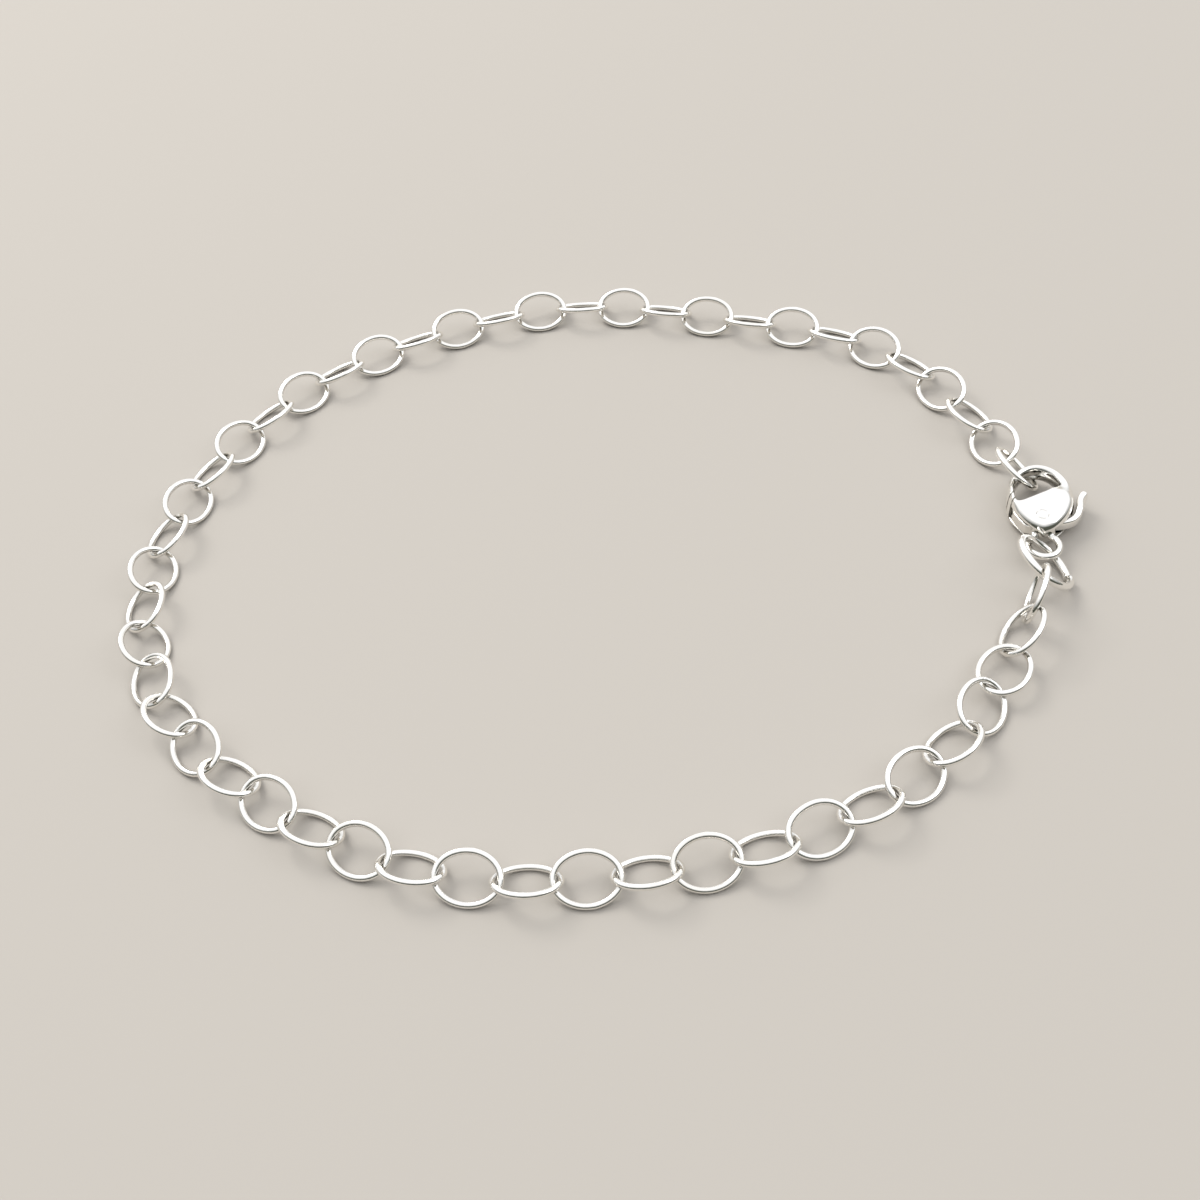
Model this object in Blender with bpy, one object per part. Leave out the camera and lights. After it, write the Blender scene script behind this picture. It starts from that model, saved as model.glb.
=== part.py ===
"""Charm bracelet of silver: a closed loop of oval cable links, one jump ring and a lobster clasp.

It lies closed on a table, which is the plane Z = 0.  Lengths are in metres, and MM turns the
millimetres of the driving dimensions into metres.  X runs to the right, Y away from the viewer.
"""

import math

import bmesh
import bpy
import numpy as np
from mathutils import Matrix, Vector

MM = 0.001

# Chain: oval links of round wire, each leaning the other way from its neighbour
LINK_COUNT = 50
LINK_LENGTH = 4.36 * MM
LINK_WIDTH = 3.49 * MM
LINK_WIRE = 0.38 * MM
LINK_GAP = 0.06 * MM
LINK_STEPS = 20
WIRE_SIDES = 6
LINK_LEAN = math.radians(28)
LOOSE_PITCH = 2.80 * MM
PULL_STEP = 0.01 * MM

# Links that lie otherwise than the rest.  Lean is positive where the outer side is up, slope where
# the end nearer to the hook is low, turn is to the left of the chain line, all three in degrees.
# Lift in millimetres is for a link that lies on its neighbours' wires.
LINK_POSES = [
    ("number", "lean", "slope", "turn", "lift"),
    (1, 74, 17, 0, 0.0),
    (2, 43, 7, 0, 0.0),
    (3, 5, 1, 0, 0.68),
    (4, -33, -3, 0, 0.0),
    (50, -43, 5, 9, 0.0),
]

# Jump ring through the clasp's eye and the first link, leaning so that its right side is low
RING_OUTER = 4.80 * MM
RING_WIRE = 0.56 * MM
RING_STEPS = 32
RING_SIDES = 8
RING_LEAN = math.radians(39.8)
RING_LEAN_HEADING = math.radians(7)
RING_FROM_EYE = (-0.52 * MM, -2.00 * MM)

# Clasp body, drawn with the middle of its eye at the origin, +Y to its hook and +X to its thumb tab
CLASP_LENGTH = 8.85 * MM
CLASP_WIDTH = 4.60 * MM
CLASP_HEADING = math.radians(-12.5)
BODY_THICKNESS = 2.20 * MM
BODY_START = 0.70 * MM
HOOK_THICKNESS = 1.30 * MM
HOOK_BAR = 0.62 * MM
EYE_HOLE = 1.60 * MM
EYE_WIRE = 0.50 * MM
SLOT_HEIGHT = 1.00 * MM
PIVOT = (-0.10 * MM, 1.95 * MM)
PIN_RADIUS = 0.34 * MM
PART_GAP = 0.06 * MM

# Lever: gate head, arm, hub and thumb tab in one, turning on the pin between the two cheeks
LEVER_THICKNESS = 0.80 * MM
TAB_THICKNESS = 1.20 * MM
TAB_WIDTH = 0.50 * MM
HUB_RADIUS = 0.72 * MM

# Form of the clasp: shares of its length or width, and angles
PEAR_POWER = 0.20
FLAT_SHARE = 1.10
SECTION_POWER = 3.0
CORNER_POWER = 5.0
OPENING_MIDDLE = (-0.02, 0.595)
CHEEK_EDGE = (-0.02, 0.485)
CHEEK_SLOPE = math.radians(38)
SPLIT_POINT = (-0.43, 0.465)
SPLIT_SLOPE = math.radians(49)
BELLY_ALONG = 0.36
HOOK_ALONG = 0.62
CLASP_SPOKES = 44
SECTION_POINTS = 14
EYE_STEPS = 24
EYE_SIDES = 8
PIN_STEPS = 20

# Room of the gate head: reach of the split line inward and outward of its point, and of the arm's root
SPLIT_INWARD = 0.13
SPLIT_OUTWARD = 0.20
ROOT_REACH = 0.26
ROOT_FROM = math.radians(104)
ROOT_TO = math.radians(168)

# Slot between the cheeks: its side, shelf and column as shares of the clasp's width or length
SLOT_SIDE = 0.70
SLOT_SHELF = 0.35
SLOT_COLUMN = 0.20
SLOT_TOP = 0.60

# Arm of the lever: places along its left edge as shares of the clasp's length, its top corners and hub
ARM_EDGE = (0.30, 0.26, 0.22, 0.19, 0.165)
ARM_CORNERS = ((-0.345, 0.435), (-0.44, 0.40))
HUB_FROM = math.radians(250)
HUB_TO = math.radians(420)

# Thumb tab's middle line: across as a share of the clasp's half width, along as one of its length.
# It has the lever's thickness up to the row TAB_THICK_FROM and is thicker from there on.
TAB_LINE = [
    ("across", "along", "width"),
    (0.00, 0.222, 1.00),
    (0.48, 0.232, 1.00),
    (0.86, 0.270, 1.00),
    (1.05, 0.330, 1.00),
    (1.13, 0.400, 1.00),
    (1.15, 0.465, 1.00),
    (1.22, 0.520, 0.95),
    (1.35, 0.570, 0.80),
]
TAB_THICK_FROM = 4
ROOT_SIDES = 8
TAB_SIDES = 12

# Chain line on the table, seen from above, from the clasp's eye round by the front to its hook.  The
# last link's middle lies short of the hook's top by its seat.
FIRST_LINK_RUN = 5.10 * MM
HOOK_SEAT = 0.02 * MM
CLOSING_ROUNDS = 6
ROUTE = [
    ("right", "back"),
    (0.982, -0.162),
    (0.862, -0.411),
    (0.668, -0.652),
    (0.380, -0.817),
    (0.013, -0.874),
    (-0.357, -0.827),
    (-0.682, -0.633),
    (-0.933, -0.342),
    (-1.003, 0.024),
    (-0.887, 0.385),
    (-0.642, 0.670),
    (-0.303, 0.828),
    (0.059, 0.866),
    (0.415, 0.755),
    (0.748, 0.591),
    (0.944, 0.254),
]

# Worked out from the dimensions above
LINK_HALF_LENGTH = (LINK_LENGTH - LINK_WIRE) / 2
LINK_HALF_WIDTH = (LINK_WIDTH - LINK_WIRE) / 2
RING_RADIUS = (RING_OUTER - RING_WIRE) / 2
EYE_RADIUS = (EYE_HOLE + EYE_WIRE) / 2
HOOK_TOP = CLASP_LENGTH - EYE_HOLE / 2 - EYE_WIRE
CLASP_MIDDLE_HEIGHT = BODY_THICKNESS / 2


def clear_scene():
    """Removes what the file held before."""
    for item in list(bpy.data.objects):
        bpy.data.objects.remove(item)


def silver(name, colour, roughness):
    """A polished silver for one kind of piece."""
    material = bpy.data.materials.new(name)
    material.use_nodes = True
    shader = material.node_tree.nodes["Principled BSDF"]
    shader.inputs["Base Color"].default_value = (*colour, 1.0)
    shader.inputs["Metallic"].default_value = 1.0
    shader.inputs["Roughness"].default_value = roughness
    return material


def add_object(name, mesh, material, parent):
    """Puts a mesh in the scene under its parent."""
    item = bpy.data.objects.new(name, mesh)
    bpy.context.collection.objects.link(item)
    item.parent = parent
    if material and not mesh.materials:
        mesh.materials.append(material)
    return item


def add_cutter(name, mesh, parent):
    """Puts a form in the scene that only serves a Boolean of another piece."""
    item = add_object(name, mesh, None, parent)
    item.hide_render = True
    item.display_type = "WIRE"
    return item


def add_boolean(item, operation, other):
    """Joins, cuts or crosses one solid with another."""
    modifier = item.modifiers.new(other.name, "BOOLEAN")
    modifier.operation = operation
    modifier.object = other


def mesh_from(bm, name):
    """Turns a bmesh into a mesh with outward faces, smooth where it is round."""
    bmesh.ops.recalc_face_normals(bm, faces=bm.faces)
    mesh = bpy.data.meshes.new(name)
    bm.to_mesh(mesh)
    bm.free()
    mesh.shade_smooth()
    mesh.set_sharp_from_angle(angle=math.radians(50))
    return mesh


def bridge_sections(bm, sections, closed):
    """Skins a row of point loops, all of one length, with quads and closes an open row's ends."""
    rows = [[bm.verts.new(point) for point in section] for section in sections]
    count = len(rows[0])
    last = len(rows) if closed else len(rows) - 1
    for i in range(last):
        here = rows[i]
        after = rows[(i + 1) % len(rows)]
        for k in range(count):
            following = (k + 1) % count
            bm.faces.new((here[k], here[following], after[following], after[k]))
    if not closed:
        bm.faces.new(rows[0])
        bm.faces.new(rows[-1])


def oval_ring(name, half_length, half_width, wire_radius, steps, sides):
    """A ring of round wire whose middle line is an ellipse in the XY plane, long along X."""
    sections = []
    for step in range(steps):
        turn = math.tau * step / steps
        middle = Vector((half_length * math.cos(turn), half_width * math.sin(turn), 0))
        outward = Vector((half_width * math.cos(turn), half_length * math.sin(turn), 0)).normalized()
        section = []
        for side in range(sides):
            angle = math.tau * (side + 0.5) / sides
            lift = Vector((0, 0, math.sin(angle) * wire_radius))
            section.append(middle + outward * (math.cos(angle) * wire_radius) + lift)
        sections.append(section)
    bm = bmesh.new()
    bridge_sections(bm, sections, closed=True)
    return mesh_from(bm, name)


def prism(name, outline, low, high):
    """A straight prism over an outline in the XY plane."""
    bm = bmesh.new()
    bridge_sections(bm, [[(x, y, z) for x, y in outline] for z in (low, high)], closed=False)
    return mesh_from(bm, name)


def arc(middle, radius, start, end, steps):
    """Points on an arc, both ends included."""
    turns = [start + (end - start) * step / steps for step in range(steps + 1)]
    return [(middle[0] + radius * math.cos(t), middle[1] + radius * math.sin(t)) for t in turns]


def smooth_step(share):
    """Eases from 0 to 1."""
    share = min(max(share, 0.0), 1.0)
    return share * share * (3 - 2 * share)


def closed_spline(points, per_span=60):
    """Samples a smooth closed curve through the points: its places and the distance run to each."""
    knots = np.array(points)
    count = len(knots)
    chords = np.linalg.norm(np.roll(knots, -1, axis=0) - knots, axis=1)
    slopes = (np.roll(knots, -1, axis=0) - knots) / chords[:, None]
    system = np.zeros((count, count))
    for i in range(count):
        system[i, i - 1] = chords[i - 1]
        system[i, i] = 2 * (chords[i - 1] + chords[i])
        system[i, (i + 1) % count] = chords[i]
    bends = np.linalg.solve(system, 6 * (slopes - np.roll(slopes, 1, axis=0)))
    places = []
    for i in range(count):
        following = (i + 1) % count
        for step in range(per_span):
            run = chords[i] * step / per_span
            rest = chords[i] - run
            cubic = (bends[i] * rest**3 + bends[following] * run**3) / (6 * chords[i])
            start = (knots[i] / chords[i] - bends[i] * chords[i] / 6) * rest
            end = (knots[following] / chords[i] - bends[following] * chords[i] / 6) * run
            places.append(cubic + start + end)
    places = np.array(places + places[:1])
    steps = np.linalg.norm(np.diff(places, axis=0), axis=1)
    return places, np.concatenate(([0.0], np.cumsum(steps)))


def place_on(line, run):
    """The place on the closed chain line at a distance along it."""
    places, runs = line
    run %= runs[-1]
    return Vector([float(np.interp(run, runs, places[:, axis])) for axis in (0, 1)])


def heading_on(line, run):
    """The heading of the chain line, taken over half a link."""
    along = place_on(line, run + LINK_HALF_LENGTH / 2) - place_on(line, run - LINK_HALF_LENGTH / 2)
    return math.atan2(along.y, along.x)


def resting_height(lean, slope):
    """Height of a link's middle when its lowest wire lies on the table."""
    along = LINK_HALF_LENGTH * math.sin(slope)
    across = LINK_HALF_WIDTH * math.sin(lean) * math.cos(slope)
    return LINK_WIRE / 2 + math.hypot(along, across)


def link_pose(line, run, number):
    """Where a link lies: on the chain line, sloped and leaned, with its lowest wire on the table."""
    lean, slope, turn, lift = LINK_LEAN if number % 2 else -LINK_LEAN, 0.0, 0.0, 0.0
    for row in LINK_POSES[1:]:
        if row[0] == number:
            lean, slope, turn = (math.radians(angle) for angle in row[1:4])
            lift = row[4] * MM
    place = place_on(line, run)
    heading = heading_on(line, run) + turn
    rotation = Matrix.Rotation(heading, 4, "Z")
    rotation = rotation @ Matrix.Rotation(slope, 4, "Y") @ Matrix.Rotation(lean, 4, "X")
    height = resting_height(lean, slope) + lift
    return Matrix.Translation((place.x, place.y, height)) @ rotation


def wire_points(pose, per_side=4):
    """Points along the middle line of a link that lies in a pose."""
    turns = np.arange(LINK_STEPS) * math.tau / LINK_STEPS
    flat = np.zeros(LINK_STEPS)
    corners = np.stack((LINK_HALF_LENGTH * np.cos(turns), LINK_HALF_WIDTH * np.sin(turns), flat), axis=1)
    shares = np.arange(per_side)[:, None, None] / per_side
    points = (corners * (1 - shares) + np.roll(corners, -1, axis=0) * shares).reshape(-1, 3)
    turn = np.array(pose.to_3x3())
    return points @ turn.T + np.array(pose.translation)


def lay_chain(line):
    """Lays the links from the jump ring on, each pulled away from the one before until they touch."""
    run = FIRST_LINK_RUN
    poses = [link_pose(line, run, 1)]
    for number in range(2, LINK_COUNT + 1):
        before = wire_points(poses[-1])
        run += LOOSE_PITCH
        nearest = LINK_LENGTH
        while nearest > LINK_WIRE + LINK_GAP:
            run += PULL_STEP
            pose = link_pose(line, run, number)
            apart = wire_points(pose)[:, None] - before[None]
            nearest = float(np.sqrt((apart**2).sum(axis=2)).min())
        poses.append(pose)
    return poses, run


def close_chain():
    """Scales the chain line until the last link lies at the hook, and gives the line and the links."""
    places, runs = closed_spline(ROUTE[1:])
    reach = LINK_COUNT * LINK_LENGTH / runs[-1]
    for _ in range(CLOSING_ROUNDS):
        line = (places * reach, runs * reach)
        poses, last_run = lay_chain(line)
        reach = (last_run + HOOK_TOP - HOOK_SEAT) / runs[-1]
    return line, poses


def pear_half_width(along):
    """Half the width of the clasp's outline at a distance along it from the eye."""
    middle = (BODY_START + HOOK_TOP) / 2
    reach = (HOOK_TOP - BODY_START) / 2
    level = (middle - along) / reach
    if abs(level) >= 1:
        return 0.0
    turn = math.acos(level)
    widest = max(math.sin(t) * math.sin(t / 2) ** PEAR_POWER for t in np.linspace(0.1, 3.1, 61))
    return CLASP_WIDTH / 2 * math.sin(turn) * math.sin(turn / 2) ** PEAR_POWER / widest


def clasp_point(shares):
    """A point of the clasp from its shares of the width and of the length."""
    return Vector((shares[0] * CLASP_WIDTH, shares[1] * CLASP_LENGTH))


def reach_to_outline(middle, heading):
    """Distance from a point inside the clasp's outline to the outline."""
    low, high = 0.0, CLASP_LENGTH
    for _ in range(40):
        reach = (low + high) / 2
        point = middle + heading * reach
        inside = abs(point.x) < pear_half_width(point.y)
        low, high = (reach, high) if inside else (low, reach)
    return low


def clasp_ring(name, spokes, points):
    """The clasp's closed form without eye: hook and belly round the opening, skinned over spokes."""
    middle = clasp_point(OPENING_MIDDLE)
    edge = clasp_point(CHEEK_EDGE)
    edge_normal = Vector((-math.sin(CHEEK_SLOPE), math.cos(CHEEK_SLOPE)))
    drop = (middle - edge).dot(edge_normal)
    sections = []
    for spoke in range(spokes):
        turn = math.tau * spoke / spokes
        heading = Vector((math.cos(turn), math.sin(turn)))
        outer = reach_to_outline(middle, heading)
        inner = outer - HOOK_BAR
        fall = -heading.dot(edge_normal)
        if fall > 0.05:
            inner = (inner**-CORNER_POWER + (drop / fall) ** -CORNER_POWER) ** (-1 / CORNER_POWER)
        level = (middle + heading * outer).y / CLASP_LENGTH
        belly = smooth_step((HOOK_ALONG - level) / (HOOK_ALONG - BELLY_ALONG))
        thickness = HOOK_THICKNESS + (BODY_THICKNESS * FLAT_SHARE - HOOK_THICKNESS) * belly
        section = []
        for k in range(points):
            angle = math.tau * (k + 0.5) / points
            across = math.copysign(abs(math.cos(angle)) ** (2 / SECTION_POWER), math.cos(angle))
            lift = math.copysign(abs(math.sin(angle)) ** (2 / SECTION_POWER), math.sin(angle))
            place = middle + heading * ((outer + inner) / 2 + across * (outer - inner) / 2)
            section.append((place.x, place.y, lift * thickness / 2))
        sections.append(section)
    bm = bmesh.new()
    bridge_sections(bm, sections, closed=True)
    for side in (-1, 1):
        cut_flat(bm, (0, 0, side * BODY_THICKNESS / 2), (0, 0, side))
    return mesh_from(bm, name)


def circle(middle, radius):
    """Points all round a circle, for the pin and its holes."""
    last = math.tau * (PIN_STEPS - 1) / PIN_STEPS
    return arc(middle, radius, 0, last, PIN_STEPS - 1)


def cut_flat(bm, place, outward):
    """Cuts off what lies beyond a plane and closes the cut with one flat face."""
    everything = list(bm.verts) + list(bm.edges) + list(bm.faces)
    result = bmesh.ops.bisect_plane(
        bm, geom=everything, plane_co=place, plane_no=outward, clear_outer=True
    )
    rim = [item for item in result["geom_cut"] if isinstance(item, bmesh.types.BMEdge)]
    bmesh.ops.contextual_create(bm, geom=rim)


def split_line():
    """The slanted joint of hook tip and gate head: a point of it and its heading."""
    return clasp_point(SPLIT_POINT), Vector((math.cos(SPLIT_SLOPE), math.sin(SPLIT_SLOPE)))


def gate_outline(gap):
    """Outline of the room of the gate head, drawn in by a gap on its two joints."""
    point, heading = split_line()
    inward = Vector((heading.y, -heading.x))
    root = arc(PIVOT, ROOT_REACH * CLASP_LENGTH + gap, ROOT_TO, ROOT_FROM, 10)
    start = point + inward * gap + heading * (SPLIT_INWARD * CLASP_LENGTH)
    end = point + inward * gap - heading * (SPLIT_OUTWARD * CLASP_LENGTH)
    return [tuple(start), tuple(end)] + root


def slot_outline():
    """Outline of the slot between the cheeks, which stops short of the eye and of the hook's root."""
    point, heading = split_line()
    start = point + heading * (SPLIT_INWARD * CLASP_LENGTH)
    end = point - heading * (SPLIT_OUTWARD * CLASP_LENGTH)
    floor = PIVOT[1] - HUB_RADIUS - 2 * PART_GAP
    side = SLOT_SIDE * CLASP_WIDTH
    column = SLOT_COLUMN * CLASP_WIDTH
    shelf = SLOT_SHELF * CLASP_LENGTH
    return [
        (-side, floor),
        (side, floor),
        (side, shelf),
        (column, shelf),
        (column, SLOT_TOP * CLASP_LENGTH),
        tuple(start),
        tuple(end),
    ]


def lever_plate_outline():
    """Outline of the thin part of the lever: hub, and arm up the left edge to the gate head."""
    left_edge = []
    for share in ARM_EDGE:
        along = share * CLASP_LENGTH
        left_edge.append((-(pear_half_width(along) - PART_GAP), along))
    hub = arc(PIVOT, HUB_RADIUS, HUB_FROM, HUB_TO, 12)
    return left_edge + hub + [tuple(clasp_point(corner)) for corner in ARM_CORNERS]


def tab_bar(name, rows, thickness, sides):
    """The thumb tab or its root: a bar of rounded section along the tab's middle line."""
    middles = [Vector((a * CLASP_WIDTH / 2, b * CLASP_LENGTH)) for a, b, _ in rows]
    sections = []
    for i, (_, _, width_share) in enumerate(rows):
        ahead = middles[min(i + 1, len(rows) - 1)] - middles[max(i - 1, 0)]
        across = Vector((ahead.y, -ahead.x)).normalized()
        section = []
        for k in range(sides):
            angle = math.tau * (k + 0.5) / sides
            out = math.copysign(abs(math.cos(angle)) ** (2 / SECTION_POWER), math.cos(angle))
            lift = math.copysign(abs(math.sin(angle)) ** (2 / SECTION_POWER), math.sin(angle))
            place = middles[i] + across * (out * TAB_WIDTH * width_share / 2)
            section.append((place.x, place.y, lift * thickness / 2))
        sections.append(section)
    bm = bmesh.new()
    bridge_sections(bm, sections, closed=False)
    return mesh_from(bm, name)


def build_clasp_body(frame, material):
    """Hook, cheeks and eye in one, with the slot for the lever and the hole for the pin."""
    form = clasp_ring("clasp_body", CLASP_SPOKES, SECTION_POINTS)
    body = add_object("clasp_body", form, material, frame)
    eye_mesh = oval_ring("eye_form", EYE_RADIUS, EYE_RADIUS, EYE_WIRE / 2, EYE_STEPS, EYE_SIDES)
    add_boolean(body, "UNION", add_cutter("eye_form", eye_mesh, frame))
    room = prism("gate_room", gate_outline(0.0), -BODY_THICKNESS, BODY_THICKNESS)
    add_boolean(body, "DIFFERENCE", add_cutter("gate_room", room, frame))
    slot = prism("slot_room", slot_outline(), -SLOT_HEIGHT / 2, SLOT_HEIGHT / 2)
    add_boolean(body, "DIFFERENCE", add_cutter("slot_room", slot, frame))
    hole = prism("pin_room", circle(PIVOT, PIN_RADIUS + PART_GAP), -BODY_THICKNESS, BODY_THICKNESS)
    add_boolean(body, "DIFFERENCE", add_cutter("pin_room", hole, frame))
    return body


def build_lever(frame, material):
    """Gate head, arm, hub and thumb tab in one piece, with its origin on the pin's axis."""
    half = LEVER_THICKNESS / 2
    plate = prism("clasp_lever", lever_plate_outline(), -half, half)
    lever = add_object("clasp_lever", plate, material, frame)
    head = add_cutter("gate_head", clasp_ring("gate_head", CLASP_SPOKES, SECTION_POINTS), frame)
    room = prism("head_room", gate_outline(PART_GAP), -BODY_THICKNESS, BODY_THICKNESS)
    add_boolean(head, "INTERSECT", add_cutter("head_room", room, frame))
    add_boolean(lever, "UNION", head)
    rows = TAB_LINE[1:]
    root = tab_bar("tab_root", rows[: TAB_THICK_FROM + 1], LEVER_THICKNESS, ROOT_SIDES)
    add_boolean(lever, "UNION", add_cutter("tab_root", root, frame))
    tab = tab_bar("tab_form", rows[TAB_THICK_FROM - 1 :], TAB_THICKNESS, TAB_SIDES)
    add_boolean(lever, "UNION", add_cutter("tab_form", tab, frame))
    hole = prism("hub_hole", circle(PIVOT, PIN_RADIUS + PART_GAP), -BODY_THICKNESS, BODY_THICKNESS)
    add_boolean(lever, "DIFFERENCE", add_cutter("hub_hole", hole, frame))
    return lever


def build_pin(frame, material):
    """The plain pin through both cheeks, flush with their faces."""
    half = BODY_THICKNESS / 2
    pin_mesh = prism("clasp_pin", circle((0, 0), PIN_RADIUS), -half, half)
    pin = add_object("clasp_pin", pin_mesh, material, frame)
    pin.location = (PIVOT[0], PIVOT[1], 0)
    return pin


def build_bracelet():
    """Places every piece along the chain line and centres the whole on the origin."""
    clear_scene()
    bracelet = bpy.data.objects.new("bracelet", None)
    bpy.context.collection.objects.link(bracelet)

    line, poses = close_chain()

    chain_silver = silver("chain_silver", (0.93, 0.93, 0.91), 0.14)
    ring_silver = silver("ring_silver", (0.93, 0.93, 0.91), 0.12)
    clasp_silver = silver("clasp_silver", (0.94, 0.94, 0.93), 0.08)
    lever_silver = silver("lever_silver", (0.94, 0.94, 0.93), 0.08)
    pin_silver = silver("pin_silver", (0.92, 0.92, 0.91), 0.10)

    link_mesh = oval_ring("link", LINK_HALF_LENGTH, LINK_HALF_WIDTH, LINK_WIRE / 2, LINK_STEPS, WIRE_SIDES)
    for number, pose in enumerate(poses, start=1):
        link = add_object(f"link_{number:02d}", link_mesh, chain_silver, bracelet)
        link.matrix_local = pose

    eye_place = place_on(line, 0.0)
    ring_place = eye_place + Vector(RING_FROM_EYE)
    ring_mesh = oval_ring("jump_ring", RING_RADIUS, RING_RADIUS, RING_WIRE / 2, RING_STEPS, RING_SIDES)
    ring = add_object("jump_ring", ring_mesh, ring_silver, bracelet)
    ring_height = RING_WIRE / 2 + RING_RADIUS * math.sin(RING_LEAN)
    turn = Matrix.Rotation(RING_LEAN_HEADING, 4, "Z") @ Matrix.Rotation(RING_LEAN, 4, "Y")
    ring.matrix_local = Matrix.Translation((ring_place.x, ring_place.y, ring_height)) @ turn

    clasp = bpy.data.objects.new("clasp", None)
    bpy.context.collection.objects.link(clasp)
    clasp.parent = bracelet
    clasp.location = (eye_place.x, eye_place.y, CLASP_MIDDLE_HEIGHT)
    clasp.rotation_euler = (0, 0, CLASP_HEADING)
    build_clasp_body(clasp, clasp_silver)
    build_lever(clasp, lever_silver)
    build_pin(clasp, pin_silver)

    bpy.context.view_layer.update()
    solids = [item for item in bpy.data.objects if item.type == "MESH" and not item.hide_render]
    depsgraph = bpy.context.evaluated_depsgraph_get()
    corners = []
    for item in solids:
        evaluated = item.evaluated_get(depsgraph)
        corners += [evaluated.matrix_world @ vertex.co for vertex in evaluated.data.vertices]
    lows = [min(corner[axis] for corner in corners) for axis in range(3)]
    highs = [max(corner[axis] for corner in corners) for axis in range(3)]
    bracelet.location = (-(lows[0] + highs[0]) / 2, -(lows[1] + highs[1]) / 2, -lows[2])
    bpy.context.view_layer.update()


build_bracelet()
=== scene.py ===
"""Charm bracelet in polished sterling silver: cable links, an open jump ring and a lobster clasp.

Every piece is built in millimetres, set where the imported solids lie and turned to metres.
"""

import math

import bmesh
import bpy
import numpy as np
from mathutils import Matrix, Vector


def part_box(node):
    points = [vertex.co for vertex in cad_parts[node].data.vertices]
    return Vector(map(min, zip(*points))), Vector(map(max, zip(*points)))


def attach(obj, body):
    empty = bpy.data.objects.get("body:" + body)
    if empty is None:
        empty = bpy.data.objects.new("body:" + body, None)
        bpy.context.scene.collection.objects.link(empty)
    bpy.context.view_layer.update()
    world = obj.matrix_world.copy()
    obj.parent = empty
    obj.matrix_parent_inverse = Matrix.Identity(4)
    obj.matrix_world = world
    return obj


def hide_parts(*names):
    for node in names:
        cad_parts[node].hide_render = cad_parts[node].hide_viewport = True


bl_info = {
    "name": "Sterling Charm Bracelet",
    "version": (1, 0, 0),
    "blender": (4, 5, 0),
    "location": "3D View > Sidebar > Bracelet",
    "description": "Builds the links, jump ring and lobster clasp of a silver bracelet and its stage",
    "category": "Object",
}

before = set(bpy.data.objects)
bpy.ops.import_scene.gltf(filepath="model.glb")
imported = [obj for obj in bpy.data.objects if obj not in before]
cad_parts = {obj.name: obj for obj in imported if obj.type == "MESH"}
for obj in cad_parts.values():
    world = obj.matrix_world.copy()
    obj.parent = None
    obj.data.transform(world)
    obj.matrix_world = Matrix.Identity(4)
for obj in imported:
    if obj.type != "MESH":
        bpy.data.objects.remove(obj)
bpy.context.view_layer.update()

MM = 0.001
LINK_NODES = sorted(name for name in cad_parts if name.startswith("link_"))

# Fineness of the swept wires and of the cast forms
LINK_STEPS = 96
LINK_SIDES = 24
RING_STEPS = 160
RING_SIDES = 32
CLASP_SPOKES = 144
CLASP_POINTS = 48
EYE_STEPS = 96
EYE_SIDES = 28
PIN_STEPS = 64
ROOT_STEPS = 24
HUB_STEPS = 36

# Angles above which an edge stays sharp: on swept wires and on castings
WIRE_SHARP = math.radians(50)
CAST_SHARP = math.radians(60)

# Link: waves of its stray bends round it, and its seam's stray from the middle of a long side and half
# width, both as turns
BEND_WAVES = (2, 3, 4)
SEAM_STRAY = 0.15
SEAM_REACH = 0.09

# Jump ring: its seam's turn from the lowest place, how far its last sections draw in and lie from
# the cut, and how far round it is sprung open
RING_SEAM_TURN = math.radians(-20)
RING_END_SHARES = (0.80, 0.95)
RING_END_STEP = 0.012
RING_SPREAD_TURN = math.radians(70)

# Rounds of melting that soften the castings' edges, and how far the pin's heads fill their holes
BODY_MELT = 9
LEVER_MELT = 6
MELT_FACTOR = 0.5
PIN_SPREAD = 1.0

# Riveted pin from the middle of its head: depth in mm with a share of its radius, and its neck's depth
PIN_HEAD = ((0.0, 0.35), (0.002, 0.75), (0.012, 0.94), (0.03, 1.0), (0.15, 1.0))
PIN_NECK = 0.28

# Form of the clasp as shares of its width or length, drawn with the middle of its eye at the origin,
# +Y to its hook and +X to its thumb tab
CLASP_HEADING = math.radians(-12.5)

# How far the belly leans to the eye, and how square the sections and the opening's corners are
PEAR_POWER = 0.20
SECTION_POWER = 2.2
TAB_POWER = 3.6
CORNER_POWER = 5.0

# Opening: its middle, the cheeks' edge below it, and the least fall of a spoke that meets the edge
OPENING_MIDDLE = (-0.02, 0.595)
CHEEK_EDGE = (-0.02, 0.485)
CHEEK_SLOPE = math.radians(38)
LEAST_FALL = 0.05

# Split between the gate head and the hook's tip, and how far it runs each way
SPLIT_POINT = (-0.43, 0.465)
SPLIT_SLOPE = math.radians(49)
SPLIT_INWARD = 0.13
SPLIT_OUTWARD = 0.20

# Where the hook's bar is widest, and where the belly's thickness ends and the hook's begins
SWELL_TURN = math.radians(20)
BELLY_ALONG = 0.36
HOOK_ALONG = 0.68

# Gate head's round root about the pin, the slot, and the lever's arm and hub
ROOT_REACH = 0.26
ROOT_ARC = (math.radians(168), math.radians(104))
SLOT_SIDE = 0.70
SLOT_SHELF = 0.35
SLOT_COLUMN = 0.20
SLOT_TOP = 0.60
ARM_EDGE = (0.30, 0.26, 0.22, 0.19, 0.165)
ARM_CORNERS = ((-0.345, 0.435), (-0.44, 0.40))
HUB_ARC = (math.radians(250), math.radians(420))

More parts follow.
